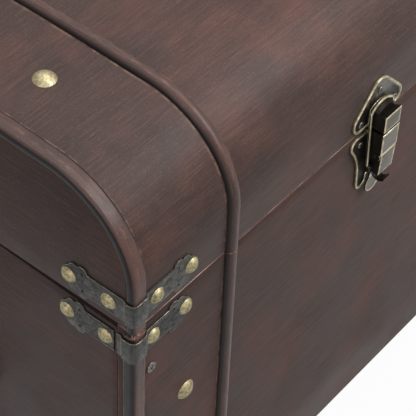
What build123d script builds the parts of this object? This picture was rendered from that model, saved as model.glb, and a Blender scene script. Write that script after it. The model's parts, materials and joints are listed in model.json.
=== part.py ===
from build123d import *
import math
import os

os.makedirs("parts", exist_ok=True)

# A small wooden treasure chest. Millimetres, +Z up, the front looks along -Y.
# The origin is the centre of the face that the chest stands on.

# Overall sizes
chest_width = 372.4
chest_depth = 262.0
body_height = 232.0
lid_height = 79.0
lid_gap = 0.5

# Boards
wall = 9.0
floor_thickness = 6.0
floor_rebate = 4.0
skin_thickness = 3.4
rail_thickness = 9.0
rail_height = 20.0
glue_line = 0.05

# The end boards of the body are cut low near their corners, which leaves a dark wedge under the lid
end_drop_at_corner = 2.4
end_drop_inside = 0.8
end_drop_run = 80.0

# Lid outline, seen from the end: upright foot, round shoulder, slightly crowned top
lid_foot = 27.0
shoulder_radius = 50.0

# Corner mouldings: how far they stand out and how far they lap over each face
post_proud_front = 2.0
post_proud_end = 1.2
post_lap_front = 8.4
post_lap_end = 6.2
post_round = 2.7
post_drop = 3.2
edge_lap_end = 3.6
edge_round = 2.2

# Half-round bands
band_width = 8.0
band_proud = 3.5
band_inset = 70.0
band_drop = 0.9

# Corner straps of pressed sheet
strap_thickness = 1.0
strap_height = 14.5
strap_seat = 0.08
strap_above_seam = 13.4
strap_below_seam = 12.6
strap_turn_lap = 2.2
lid_strap_neck_front = 28.0
lid_strap_neck_end = 26.2
wrap_strap_neck_front = 25.0
wrap_strap_end_lap = 8.6
end_strap_start = 10.6
end_strap_neck = 28.4
pin_hole_radius = 0.7
pin_hole_past_neck = 3.0
pin_hole_offset = 5.7

# Scalloped strap end, measured past the neck and off the strap's middle line
lobe_peak = (2.9, 10.3)
lobe_notch = (6.3, 8.5)
tip_lobe_peak = (8.7, 9.3)
tip_lobe_end = (11.2, 6.8)
tip_reach = 15.6

# Domed nails and screws
nail_head_radius = 4.4
nail_head_height = 2.4
nail_shank_radius = 0.8
nail_shank_length = 7.0
band_nail_head_radius = 5.8
band_nail_head_height = 2.8
lid_nail_inset = 36.8
lid_nail_from_front = 84.6
body_nail_inset = 40.0
body_nail_drop = 80.2
band_nail_shank_length = 3.2
screw_head_radius = 3.1
screw_head_height = 0.8
screw_shank_radius = 1.3
screw_shank_length = 8.0
screw_inset = 13.2
screw_below_seam = 36.4
small_screw_head_radius = 1.9
small_screw_head_height = 0.8
small_screw_shank_radius = 0.8
small_screw_shank_length = 6.0
head_round_share = 0.6
slot_width_share = 0.24
slot_length_share = 1.3
slot_depth_share = 0.5

# Nail places on the straps, measured from the chest's corner
lid_nails_front = (16.0, 40.1)
lid_nails_end = (13.4, 37.5)
body_nails_front = (13.4, 36.6)
body_nails_end = (15.6, 39.3)

# Back hinges
hinge_band_gap = 16.5
hinge_width = 36.0
hinge_leaf_height = 20.0
hinge_leaf_thickness = 1.2
hinge_knuckle_radius = 2.6
hinge_pin_radius = 1.2
hinge_pin_clearance = 0.05
hinge_pin_out = 4.3
hinge_knuckle_gap = 0.2
hinge_leaf_gap = 0.35
hinge_screw_spacing = 22.0
hinge_screw_drop = 12.0

# Latch plates
plate_thickness = 1.5
plate_rim_width = 1.3
plate_rim_height = 0.5
keeper_corner_radius = 6.5
keeper_corner_spread = 14.1
keeper_corner_height = 8.1
keeper_top_radius = 8.3
keeper_top_height = 20.8
keeper_screw_top = 21.3
keeper_screw_spread = 14.3
keeper_screw_height = 7.0
base_screw_spread = 12.4
base_screw_drop = 8.5
base_screw_low_drop = 31.0

# Base plate outline, right half, from the top edge down to the foot
base_top_drop = 1.9
base_top_half = 13.6
base_shoulder_mid = (19.8, 4.2)
base_shoulder_end = (19.8, 9.4)
base_waist_mid = (15.2, 17.5)
base_waist_end = (12.8, 26.0)
base_foot_radius = 4.7
base_foot_spread = 7.4
base_foot_drop = 38.3
base_arch_drop = 35.0

# Latch block: hook on the lid, housing and lever on the body
hook_width = 13.6
hook_reach = 10.9
hook_bottom_rise = 1.2
hook_front_top = 11.8
hook_lip = 4.4
hook_notch_top = 10.0
housing_top_drop = 0.4
lever_width = 12.3
lever_wall = 1.3
lever_pivot_reach = 8.3
lever_pivot_drop = 16.6
lever_bottom_drop = 29.4
lever_bottom_reach = 10.3
lever_back_reach = 3.0
lever_swing = 80.0
lever_clearance = 0.3
lever_corner_room = 0.2
ear_thickness = 0.7
ear_gap = 0.15
ear_radius = 2.3
lip_width = 5.0
lip_back_reach = 5.6
lip_bottom = (9.4, 36.8)
lip_tip = (12.4, 33.6)
tab_reach = 2.8
tab_thickness = 1.1
tab_neck_width = 7.0
tab_rim_width = 0.7
tab_rim_height = 0.3
tab_disc_radius = 5.9
tab_disc_drop = 42.6
latch_pin_radius = 0.9
latch_pin_clearance = 0.05

# Bail that loops over the hook
bail_half_width = 10.1
bail_rod = 1.5
bail_thickness = 1.3
bail_lean = 2.2
bail_arch_rise = 41.6
bail_shoulder_rise = 37.1
bail_seat_clearance = 0.6
bail_pivot_reach = 4.9
bail_pivot_drop = 25.2
bail_boss_radius = 2.0

# Drop handles on the ends
handle_height = 128.0
handle_plate_width = 66.0
handle_plate_height = 20.0
handle_plate_thickness = 1.5
handle_plate_round = 6.0
handle_ear_spread = 24.0
handle_ear_width = 6.0
handle_ear_radius = 4.2
handle_pivot_out = 6.6
handle_rod_radius = 2.4
handle_stub_clearance = 0.06
handle_leg_spread = 31.0
handle_drop = 27.0
handle_bend_radius = 9.0
handle_elbow_radius = 3.0
handle_grip_radius = 3.6
handle_grip_length = 34.0
handle_screw_spread = 14.0

# Worked-out places
half_width = chest_width / 2
half_depth = chest_depth / 2
seam = body_height
lid_bottom = body_height + lid_gap
lid_top = lid_bottom + lid_height
crown_fall = lid_height - lid_foot
crown_radius = ((half_depth - shoulder_radius) ** 2 + crown_fall**2 - shoulder_radius**2) / (
    2 * (crown_fall - shoulder_radius)
)
crown_centre_z = lid_top - crown_radius
shoulder_z = lid_bottom + lid_foot
shoulder_y = half_depth - shoulder_radius
crown_angle = math.degrees(math.atan2(shoulder_z - crown_centre_z, shoulder_y))
strap_half = strap_height / 2
band_x = half_width - band_inset

# Faces of the chest: local x runs along the face, local y is up, the normal points outwards
front_face = Plane(origin=(0, -half_depth, 0), x_dir=(1, 0, 0), z_dir=(0, -1, 0))
back_face = Plane(origin=(0, half_depth, 0), x_dir=(-1, 0, 0), z_dir=(0, 1, 0))
left_face = Plane(origin=(-half_width, 0, 0), x_dir=(0, -1, 0), z_dir=(-1, 0, 0))
right_face = Plane(origin=(half_width, 0, 0), x_dir=(0, 1, 0), z_dir=(1, 0, 0))
long_faces = (front_face, back_face)
end_faces = (left_face, right_face)

# The latch is drawn on the front face with its zero at the seam, and in its side view
latch_face = Plane(origin=(0, -half_depth, seam), x_dir=(1, 0, 0), z_dir=(0, -1, 0))
latch_side = Plane(origin=(0, -half_depth, seam), x_dir=(0, -1, 0), z_dir=(-1, 0, 0))

# How a piece of the front left corner is mirrored to each corner
corners = {
    "front_left": (),
    "front_right": (Plane.YZ,),
    "back_left": (Plane.XZ,),
    "back_right": (Plane.YZ, Plane.XZ),
}


def save(piece, node):
    """Label one finished piece and write it as its own file."""
    piece.label = node
    export_step(piece, f"parts/{node}.step")


def mirrored(piece, planes):
    """The piece mirrored in each plane in turn."""
    for plane in planes:
        piece = mirror(piece, about=plane)
    return piece


def on_face(face, across, height, out=0.0):
    """A place on a face of the chest: across it, up it and out from it."""
    return face.location * Pos(across, height, out)


def corner_spots(faces, half_span, insets, heights, out=0.0):
    """Places near both ends of each face, at each inset from the corner and each height."""
    return [
        on_face(face, side * (half_span - inset), height, out)
        for face in faces
        for side in (-1, 1)
        for inset in insets
        for height in heights
    ]


def domed_nail(head_radius, head_height, shank_length):
    """A nail with a domed head, standing on its shank's end, the head's flat on zero."""
    with BuildPart() as nail:
        with BuildSketch(Plane.XZ):
            with BuildLine():
                ball_radius = (head_radius**2 + head_height**2) / (2 * head_height)
                ball_centre = head_height - ball_radius
                rim_angle = math.degrees(math.atan2(-ball_centre, head_radius))
                CenterArc((0, ball_centre), ball_radius, rim_angle, 90 - rim_angle)
                Polyline((0, head_height), (0, 0), (head_radius, 0))
            make_face()
        revolve(axis=Axis.Z)
        Cylinder(nail_shank_radius, shank_length, align=(Align.CENTER, Align.CENTER, Align.MAX))
    return nail.part


def cross_screw(head_radius, head_height, shank_radius, shank_length):
    """A pan-head screw with a cross recess, the head's flat on zero."""
    slot = (slot_length_share * head_radius, slot_width_share * head_radius)
    with BuildPart() as screw:
        Cylinder(head_radius, head_height, align=(Align.CENTER, Align.CENTER, Align.MIN))
        fillet(screw.edges().sort_by(Axis.Z)[-1], head_height * head_round_share)
        Cylinder(shank_radius, shank_length, align=(Align.CENTER, Align.CENTER, Align.MAX))
        with BuildSketch(Plane.XY.offset(head_height)):
            Rectangle(slot[0], slot[1])
            Rectangle(slot[1], slot[0])
        extrude(amount=-head_height * slot_depth_share, mode=Mode.SUBTRACT)
    return screw.part


def fastener_group(fastener, spots):
    """One group of equal fasteners, a copy at each place."""
    with BuildPart() as group:
        with Locations(*spots):
            add(fastener)
    return group.part


def drill(spots, radius, depth):
    """Holes into the piece being built, at each place on its outside."""
    with Locations(*spots):
        Cylinder(radius, 2 * depth, mode=Mode.SUBTRACT)


def lid_outline(grow):
    """The lid's outline seen from the end, grown outwards by an amount, down to its lower edge."""
    shoulder = shoulder_radius + grow
    crown = crown_radius + grow
    foot = half_depth + grow
    with BuildLine() as outline:
        Line((-foot, lid_bottom), (-foot, shoulder_z))
        CenterArc((-shoulder_y, shoulder_z), shoulder, 180, -crown_angle)
        CenterArc((0, crown_centre_z), crown, 180 - crown_angle, 2 * crown_angle - 180)
        CenterArc((shoulder_y, shoulder_z), shoulder, crown_angle, -crown_angle)
        Line((foot, shoulder_z), (foot, lid_bottom))
    return outline.line


# Places of all nails and screws
lid_strap_z = seam + strap_above_seam
body_strap_z = seam - strap_below_seam
body_nail_zs = (seam - body_nail_drop, body_nail_drop)
screw_zs = (seam - screw_below_seam, screw_below_seam)

lid_strap_nail_spots = corner_spots(
    long_faces, half_width, lid_nails_front, (lid_strap_z,), strap_thickness
) + corner_spots(end_faces, half_depth, lid_nails_end, (lid_strap_z,), strap_thickness)
body_strap_nail_spots = corner_spots(
    long_faces, half_width, body_nails_front, (body_strap_z,), strap_thickness
) + corner_spots(end_faces, half_depth, body_nails_end, (body_strap_z,), strap_thickness)
body_band_nail_spots = corner_spots(long_faces, half_width, (body_nail_inset,), body_nail_zs)
panel_screw_spots = corner_spots(long_faces, half_width, (screw_inset,), screw_zs)

crown_nail_y = half_depth - lid_nail_from_front
crown_nail_z = crown_centre_z + math.sqrt(crown_radius**2 - crown_nail_y**2)
crown_nail_tilt = math.degrees(math.asin(crown_nail_y / crown_radius))
lid_band_nail_spots = [
    Location((side * (half_width - lid_nail_inset), end * crown_nail_y, crown_nail_z))
    * Rotation(-end * crown_nail_tilt, 0, 0)
    for side in (-1, 1)
    for end in (-1, 1)
]

# Body boards

floor_width = chest_width - 2 * wall + 2 * floor_rebate
floor_depth = chest_depth - 2 * wall + 2 * floor_rebate

with BuildPart() as floor_panel:
    Box(floor_width, floor_depth, floor_thickness, align=(Align.CENTER, Align.CENTER, Align.MIN))
save(floor_panel.part, "floor_panel")

hinge_z = seam + lid_gap / 2
hinge_x = band_x - band_width / 2 - hinge_band_gap - hinge_width / 2
hinge_xs = (-hinge_x, hinge_x)
hinge_screw_offsets = (-hinge_screw_spacing / 2, hinge_screw_spacing / 2)
hinge_body_screw_spots = [
    on_face(back_face, x + offset, hinge_z - hinge_screw_drop, hinge_leaf_thickness)
    for x in hinge_xs
    for offset in hinge_screw_offsets
]
hinge_lid_screw_spots = [
    on_face(back_face, x + offset, hinge_z + hinge_screw_drop, hinge_leaf_thickness)
    for x in hinge_xs
    for offset in hinge_screw_offsets
]
plate_floor = plate_thickness - plate_rim_height
keeper_screw_spots = [
    on_face(latch_face, x, z, plate_floor)
    for x, z in (
        (0, keeper_screw_top),
        (-keeper_screw_spread, keeper_screw_height),
        (keeper_screw_spread, keeper_screw_height),
    )
]
base_screw_spots = [
    on_face(latch_face, x, -drop, plate_floor)
    for x, drop in (
        (-base_screw_spread, base_screw_drop),
        (base_screw_spread, base_screw_drop),
        (0, base_screw_low_drop),
    )
]

long_boards = (
    ("front_panel", front_face, base_screw_spots),
    ("back_panel", back_face, hinge_body_screw_spots),
)
for node, face, small_spots in long_boards:
    with BuildPart() as long_board:
        with BuildSketch(face):
            with Locations((0, body_height / 2)):
                Rectangle(chest_width, body_height)
        extrude(amount=-wall)
        add(floor_panel.part, mode=Mode.SUBTRACT)
        drill(body_strap_nail_spots, nail_shank_radius, nail_shank_length)
        drill(body_band_nail_spots, nail_shank_radius, band_nail_shank_length)
        drill(panel_screw_spots, screw_shank_radius, screw_shank_length)
        drill(small_spots, small_screw_shank_radius, small_screw_shank_length)
    save(long_board.part, node)

handle_screw_spots = [
    on_face(face, side * handle_screw_spread, handle_height, handle_plate_thickness)
    for face in end_faces
    for side in (-1, 1)
]
end_board_half = half_depth - wall
for node, face in (("left_end_panel", left_face), ("right_end_panel", right_face)):
    with BuildPart() as end_board:
        with BuildSketch(face):
            with BuildLine():
                corner_z = seam - end_drop_at_corner
                inner_z = seam - end_drop_inside
                ramp_end = half_depth - end_drop_run
                Polyline(
                    (-end_board_half, 0),
                    (end_board_half, 0),
                    (end_board_half, corner_z),
                    (ramp_end, inner_z),
                    (-ramp_end, inner_z),
                    (-end_board_half, corner_z),
                    close=True,
                )
            make_face()
        extrude(amount=-wall)
        add(floor_panel.part, mode=Mode.SUBTRACT)
        drill(body_strap_nail_spots, nail_shank_radius, nail_shank_length)
        drill(handle_screw_spots, screw_shank_radius, screw_shank_length)
    save(end_board.part, node)

# Corner posts and their section, lapped over the corner of the boards


def moulding_section(lap_end, grow, radius, mode=Mode.ADD):
    """The rounded outline of a corner moulding, seen from above, grown by an amount."""
    span_x = post_proud_end + post_lap_front + 2 * grow
    span_y = post_proud_front + lap_end + 2 * grow
    centre_x = (post_lap_front - post_proud_end) / 2 - half_width
    centre_y = (lap_end - post_proud_front) / 2 - half_depth
    with Locations((centre_x, centre_y)):
        RectangleRounded(span_x, span_y, radius + grow, mode=mode)


def board_corner(grow, reach_front, reach_end, mode=Mode.ADD):
    """The square corner of the boards, seen from above, grown by an amount."""
    with Locations((-half_width - grow, -half_depth - grow)):
        Rectangle(reach_front + grow, reach_end + grow, align=(Align.MIN, Align.MIN), mode=mode)


with BuildPart() as corner_post:
    with BuildSketch():
        moulding_section(post_lap_end, 0, post_round)
        board_corner(0, half_width, half_depth, mode=Mode.SUBTRACT)
    extrude(amount=body_height - post_drop)
for corner, planes in corners.items():
    save(mirrored(corner_post.part, planes), f"{corner}_post")

# Half-round bands on the body


def band_section():
    """The half-round section of a band, its flat on zero."""
    with BuildSketch() as section:
        with BuildLine():
            ThreePointArc((-band_width / 2, 0), (0, band_proud), (band_width / 2, 0))
            Line((band_width / 2, 0), (-band_width / 2, 0))
        make_face()
    return section.sketch


band_foot = Plane(origin=(-band_x, -half_depth, 0), x_dir=(-1, 0, 0), z_dir=(0, 0, 1))
with BuildPart() as body_band:
    with BuildSketch(band_foot):
        add(band_section())
    extrude(amount=body_height - band_drop)
for corner, planes in corners.items():
    save(mirrored(body_band.part, planes), f"{corner}_body_band")

# Lid boards


def lid_slab(grow, start, length):
    """The solid space under the lid's outline grown by an amount, from a place across the chest."""
    foot = half_depth + grow
    with BuildPart() as slab:
        with BuildSketch(Plane.YZ.offset(start)):
            with BuildLine():
                add(lid_outline(grow))
                Line((foot, lid_bottom), (-foot, lid_bottom))
            make_face()
        extrude(amount=length)
    return slab.part


with BuildPart() as lid_skin:
    add(lid_slab(0, -half_width, chest_width))
    add(lid_slab(-skin_thickness, -half_width, chest_width), mode=Mode.SUBTRACT)
    drill(lid_strap_nail_spots, nail_shank_radius, nail_shank_length)
    drill(lid_band_nail_spots, nail_shank_radius, band_nail_shank_length)
    drill(keeper_screw_spots, small_screw_shank_radius, small_screw_shank_length)
    drill(hinge_lid_screw_spots, small_screw_shank_radius, small_screw_shank_length)
save(lid_skin.part, "lid_skin")

with BuildPart() as lid_end:
    add(lid_slab(-skin_thickness - glue_line, -half_width, wall))
    drill(lid_strap_nail_spots, nail_shank_radius, nail_shank_length)
save(lid_end.part, "lid_left_end")
save(mirrored(lid_end.part, (Plane.YZ,)), "lid_right_end")

rail_length = chest_width - 2 * wall
rails = (
    ("lid_front_rail", front_face, keeper_screw_spots),
    ("lid_back_rail", back_face, hinge_lid_screw_spots),
)
for node, face, small_spots in rails:
    with BuildPart() as rail:
        with BuildSketch(face.offset(-skin_thickness)):
            with Locations((0, lid_bottom + rail_height / 2)):
                Rectangle(rail_length, rail_height)
        extrude(amount=-rail_thickness)
        drill(lid_strap_nail_spots, nail_shank_radius, nail_shank_length)
        drill(small_spots, small_screw_shank_radius, small_screw_shank_length)
    save(rail.part, node)

# Mouldings that follow the lid's outline: one over each end edge, and the inner bands


def lid_path(x):
    """The lid's outline as a path at one place across the chest."""
    return lid_outline(0).moved(Plane.YZ.offset(x).location)


with BuildPart() as lid_band:
    with BuildSketch(band_foot.offset(lid_bottom)):
        add(band_section())
    sweep(path=lid_path(-band_x))
save(mirrored(lid_band.part, ()), "lid_left_band")
save(mirrored(lid_band.part, (Plane.YZ,)), "lid_right_band")

with BuildPart() as lid_edge:
    with BuildSketch(Plane.XY.offset(lid_bottom)):
        moulding_section(edge_lap_end, 0, edge_round)
        board_corner(0, half_width, half_depth, mode=Mode.SUBTRACT)
    sweep(path=lid_path(-half_width))
save(mirrored(lid_edge.part, ()), "lid_left_edge")
save(mirrored(lid_edge.part, (Plane.YZ,)), "lid_right_edge")

# Corner straps: bent over the moulding, with scalloped ends


def strap_outline(corner_at, direction, start, neck, middle):
    """A strap's arm seen square on, from its start to its scalloped tip, along one face."""

    def spot(along, off):
        return (corner_at + direction * along, middle + off)

    with BuildSketch() as outline:
        with BuildLine():
            for side in (1, -1):
                neck_spot = spot(neck, side * strap_half)
                notch_spot = spot(neck + lobe_notch[0], side * lobe_notch[1])
                end_spot = spot(neck + tip_lobe_end[0], side * tip_lobe_end[1])
                Line(spot(start, side * strap_half), neck_spot)
                ThreePointArc(neck_spot, spot(neck + lobe_peak[0], side * lobe_peak[1]), notch_spot)
                ThreePointArc(notch_spot, spot(neck + tip_lobe_peak[0], side * tip_lobe_peak[1]), end_spot)
            ThreePointArc(
                spot(neck + tip_lobe_end[0], tip_lobe_end[1]),
                spot(neck + tip_reach, 0),
                spot(neck + tip_lobe_end[0], -tip_lobe_end[1]),
            )
            Line(spot(start, strap_half), spot(start, -strap_half))
        make_face()
    return outline.sketch


def pin_hole_spots(face, corner_at, direction, neck, middle):
    """Places of the two small nail holes beside a strap's outer nail."""
    return [
        on_face(face, corner_at + direction * (neck + pin_hole_past_neck), middle + side * pin_hole_offset)
        for side in (-1, 1)
    ]


def corner_strap(lap_end, radius, middle, neck_front, reach_end):
    """The bent part of a strap, seen from above, round the moulding at the front left corner."""
    with BuildSketch(Plane.XY.offset(middle - strap_half)) as bend:
        board_corner(strap_thickness, neck_front, reach_end)
        moulding_section(lap_end, strap_thickness, radius)
        moulding_section(lap_end, strap_seat, radius, mode=Mode.SUBTRACT)
        board_corner(0, half_width, half_depth, mode=Mode.SUBTRACT)
    return bend.sketch


arm_start = post_lap_front + strap_turn_lap
lid_holes_front = pin_hole_spots(front_face, -half_width, 1, lid_strap_neck_front, lid_strap_z)
lid_holes_end = pin_hole_spots(left_face, half_depth, -1, lid_strap_neck_end, lid_strap_z)
with BuildPart() as lid_strap:
    add(corner_strap(edge_lap_end, edge_round, lid_strap_z, lid_strap_neck_front, lid_strap_neck_end))
    extrude(amount=strap_height)
    with BuildSketch(front_face):
        add(strap_outline(-half_width, 1, arm_start, lid_strap_neck_front, lid_strap_z))
    extrude(amount=strap_thickness)
    with BuildSketch(left_face):
        add(strap_outline(half_depth, -1, arm_start, lid_strap_neck_end, lid_strap_z))
    extrude(amount=strap_thickness)
    drill(lid_strap_nail_spots, nail_shank_radius, nail_shank_length)
    drill(lid_holes_front + lid_holes_end, pin_hole_radius, 2 * strap_thickness)

with BuildPart() as wrap_strap:
    add(corner_strap(post_lap_end, post_round, body_strap_z, wrap_strap_neck_front, wrap_strap_end_lap))
    extrude(amount=strap_height)
    with BuildSketch(front_face):
        add(strap_outline(-half_width, 1, arm_start, wrap_strap_neck_front, body_strap_z))
    extrude(amount=strap_thickness)
    drill(body_strap_nail_spots, nail_shank_radius, nail_shank_length)
    wrap_holes = pin_hole_spots(front_face, -half_width, 1, wrap_strap_neck_front, body_strap_z)
    drill(wrap_holes, pin_hole_radius, 2 * strap_thickness)

with BuildPart() as end_strap:
    with BuildSketch(left_face):
        add(strap_outline(half_depth, -1, end_strap_start, end_strap_neck, body_strap_z))
    extrude(amount=strap_thickness)
    drill(body_strap_nail_spots, nail_shank_radius, nail_shank_length)
    end_holes = pin_hole_spots(left_face, half_depth, -1, end_strap_neck, body_strap_z)
    drill(end_holes, pin_hole_radius, 2 * strap_thickness)

for corner, planes in corners.items():
    save(mirrored(lid_strap.part, planes), f"{corner}_lid_strap")
    save(mirrored(wrap_strap.part, planes), f"{corner}_wrap_strap")
    save(mirrored(end_strap.part, planes), f"{corner}_end_strap")

# Nails and screws of the boards and straps

strap_nail = domed_nail(nail_head_radius, nail_head_height, nail_shank_length)
band_nail = domed_nail(band_nail_head_radius, band_nail_head_height, band_nail_shank_length)
board_screw = cross_screw(screw_head_radius, screw_head_height, screw_shank_radius, screw_shank_length)
small_screw = cross_screw(
    small_screw_head_radius, small_screw_head_height, small_screw_shank_radius, small_screw_shank_length
)
save(fastener_group(strap_nail, lid_strap_nail_spots), "lid_strap_nails")
save(fastener_group(strap_nail, body_strap_nail_spots), "body_strap_nails")
save(fastener_group(band_nail, lid_band_nail_spots), "lid_band_nails")
save(fastener_group(band_nail, body_band_nail_spots), "body_band_nails")
save(fastener_group(board_screw, panel_screw_spots), "panel_screws")

# Back hinges: a leaf on the body, a leaf on the lid and a pin, twice

hinge_pin_y = half_depth + hinge_pin_out
hinge_web_height = hinge_knuckle_radius - hinge_leaf_gap
knuckle_pitch = hinge_width / 3
knuckle_length = knuckle_pitch - hinge_knuckle_gap


def hinge_leaf(x, side, knuckle_starts, screw_spots):
    """One leaf of a hinge: side is -1 on the body, 1 on the lid."""
    with BuildPart() as leaf:
        with BuildSketch(back_face):
            with Locations((-x, hinge_z + side * (hinge_leaf_gap + hinge_leaf_height / 2))):
                Rectangle(hinge_width, hinge_leaf_height)
        extrude(amount=hinge_leaf_thickness)
        for start in knuckle_starts:
            with BuildSketch(Plane.YZ.offset(x + start)):
                with Locations((hinge_pin_y, hinge_z)):
                    Circle(hinge_knuckle_radius)
                web_z = hinge_z + side * (hinge_leaf_gap + hinge_web_height / 2)
                with Locations((half_depth + hinge_pin_out / 2, web_z)):
                    Rectangle(hinge_pin_out, hinge_web_height)
            extrude(amount=knuckle_length)
        with Locations(Location((x, hinge_pin_y, hinge_z), (0, 90, 0))):
            Cylinder(hinge_pin_radius + hinge_pin_clearance, 2 * hinge_width, mode=Mode.SUBTRACT)
        drill(screw_spots, small_screw_shank_radius, small_screw_shank_length)
    return leaf.part


outer_knuckles = (-hinge_width / 2, knuckle_pitch / 2 + hinge_knuckle_gap)
middle_knuckle = ((hinge_knuckle_gap - knuckle_pitch) / 2,)
for node, x in (("left_hinge", hinge_xs[0]), ("right_hinge", hinge_xs[1])):
    save(hinge_leaf(x, -1, outer_knuckles, hinge_body_screw_spots), f"{node}_body_leaf")
    save(hinge_leaf(x, 1, middle_knuckle, hinge_lid_screw_spots), f"{node}_lid_leaf")

with BuildPart() as hinge_pins:
    with Locations(*[Location((x, hinge_pin_y, hinge_z), (0, 90, 0)) for x in hinge_xs]):
        Cylinder(hinge_pin_radius, hinge_width)
save(hinge_pins.part, "hinge_pins")
save(fastener_group(small_screw, hinge_body_screw_spots), "hinge_body_screws")
save(fastener_group(small_screw, hinge_lid_screw_spots), "hinge_lid_screws")

# Latch plates with a raised rim

bail_arch_height = bail_arch_rise - bail_shoulder_rise
bail_outer_radius = (bail_half_width**2 + bail_arch_height**2) / (2 * bail_arch_height)
bail_arch_centre = bail_arch_rise - bail_outer_radius
hook_arch_centre = bail_arch_centre - bail_pivot_drop
bail_inner_radius = bail_outer_radius - bail_rod
bail_inner_half = bail_half_width - bail_rod
hook_arch_radius = bail_inner_radius - bail_seat_clearance
hook_arch_top = hook_arch_centre + hook_arch_radius
housing_width = lever_width + 2 * (ear_gap + ear_thickness)
lever_nose = hook_reach - lever_pivot_reach
housing_bottom_rise = lever_nose * math.tan(math.radians(lever_swing / 2)) + lever_corner_room


def rimmed_plate(outline):
    """A plate on the chest's front with a raised rim round its outline."""
    with BuildPart() as plate:
        with BuildSketch(latch_face):
            add(outline)
        extrude(amount=plate_thickness)
        with BuildSketch(latch_face.offset(plate_thickness)):
            add(offset(outline, amount=-plate_rim_width, mode=Mode.PRIVATE))
        extrude(amount=-plate_rim_height, mode=Mode.SUBTRACT)
    return plate.part


with BuildSketch() as keeper_outline:
    with Locations(*[(side * keeper_corner_spread, keeper_corner_height) for side in (-1, 1)]):
        Circle(keeper_corner_radius)
    with Locations((0, keeper_top_height)):
        Circle(keeper_top_radius)
    make_hull()

with BuildPart() as latch_keeper:
    add(rimmed_plate(keeper_outline.sketch))
    with BuildSketch(latch_side):
        with BuildLine():
            Polyline(
                (plate_floor / 2, hook_bottom_rise),
                (hook_reach, hook_bottom_rise),
                (hook_reach, hook_front_top),
                (hook_reach - hook_lip, hook_notch_top),
                (hook_reach - hook_lip, hook_arch_top),
                (plate_floor / 2, hook_arch_top),
                close=True,
            )
        make_face()
    extrude(amount=hook_width / 2, both=True)
    with BuildSketch(latch_face.offset(plate_thickness)):
        with Locations((0, hook_arch_centre)):
            Rectangle(2 * hook_width, 2 * hook_arch_top, align=(Align.CENTER, Align.MIN))
            Circle(hook_arch_radius, mode=Mode.SUBTRACT)
    extrude(amount=hook_reach - hook_lip - plate_thickness, mode=Mode.SUBTRACT)
    with BuildSketch(latch_face.offset(plate_floor)):
        with Locations((0, hook_arch_centre)):
            Rectangle(hook_width, hook_arch_radius, align=(Align.CENTER, Align.MIN))
            Circle(hook_arch_radius, mode=Mode.SUBTRACT)
    extrude(amount=plate_rim_height, mode=Mode.SUBTRACT)
    drill(keeper_screw_spots, small_screw_shank_radius, small_screw_shank_length)
save(latch_keeper.part, "latch_keeper")
save(fastener_group(small_screw, keeper_screw_spots), "latch_keeper_screws")


def down(spot, side=1):
    """A point of the base plate's outline, given as half width and drop below the seam."""
    return (side * spot[0], -spot[1])


with BuildSketch() as base_outline:
    foot_outside = base_foot_spread + base_foot_radius
    foot_inside = base_foot_spread - base_foot_radius
    with BuildLine():
        base_top = (base_top_half, base_top_drop)
        bends = (
            (base_top, base_shoulder_mid, base_shoulder_end),
            (base_shoulder_end, base_waist_mid, base_waist_end),
        )
        for side in (1, -1):
            for bend_start, bend_middle, bend_end in bends:
                ThreePointArc(down(bend_start, side), down(bend_middle, side), down(bend_end, side))
            Line(down(base_waist_end, side), (side * foot_outside, -base_foot_drop))
            foot_bottom = (side * base_foot_spread, -base_foot_drop - base_foot_radius)
            foot_inner_end = (side * foot_inside, -base_foot_drop)
            ThreePointArc((side * foot_outside, -base_foot_drop), foot_bottom, foot_inner_end)
        Line(down(base_top, -1), down(base_top))
        ThreePointArc((-foot_inside, -base_foot_drop), (0, -base_arch_drop), (foot_inside, -base_foot_drop))
    make_face()

# Base plate, the housing that meets the hook and the two ears that hold the lever's pin

with BuildPart() as latch_base:
    add(rimmed_plate(base_outline.sketch))
    with BuildSketch(latch_side):
        with BuildLine():
            housing_bottom = housing_bottom_rise - lever_pivot_drop
            Polyline(
                (plate_floor / 2, -housing_top_drop),
                (hook_reach, -housing_top_drop),
                (hook_reach, housing_bottom),
                (plate_floor / 2, housing_bottom),
                close=True,
            )
        make_face()
        with Locations((lever_pivot_reach, -lever_pivot_drop)):
            Circle(lever_nose + lever_clearance, mode=Mode.SUBTRACT)
    extrude(amount=housing_width / 2, both=True)
    for side in (-1, 1):
        with BuildSketch(latch_side.offset(side * (lever_width / 2 + ear_gap))):
            with Locations((lever_pivot_reach, -lever_pivot_drop)):
                Circle(ear_radius)
            with Locations((plate_floor / 2, -lever_pivot_drop)):
                Rectangle(
                    lever_pivot_reach - plate_floor / 2, 2 * ear_radius, align=(Align.MIN, Align.CENTER)
                )
        extrude(amount=side * ear_thickness)
    with BuildSketch(latch_side):
        with Locations((lever_pivot_reach, -lever_pivot_drop)):
            Circle(latch_pin_radius + latch_pin_clearance)
    extrude(amount=housing_width, both=True, mode=Mode.SUBTRACT)
    drill(base_screw_spots, small_screw_shank_radius, small_screw_shank_length)
save(latch_base.part, "latch_base")
save(fastener_group(small_screw, base_screw_spots), "latch_base_screws")

# Lever: a folded channel that turns on the upper pin, with a curled lip to pull and a round tab behind it

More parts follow.
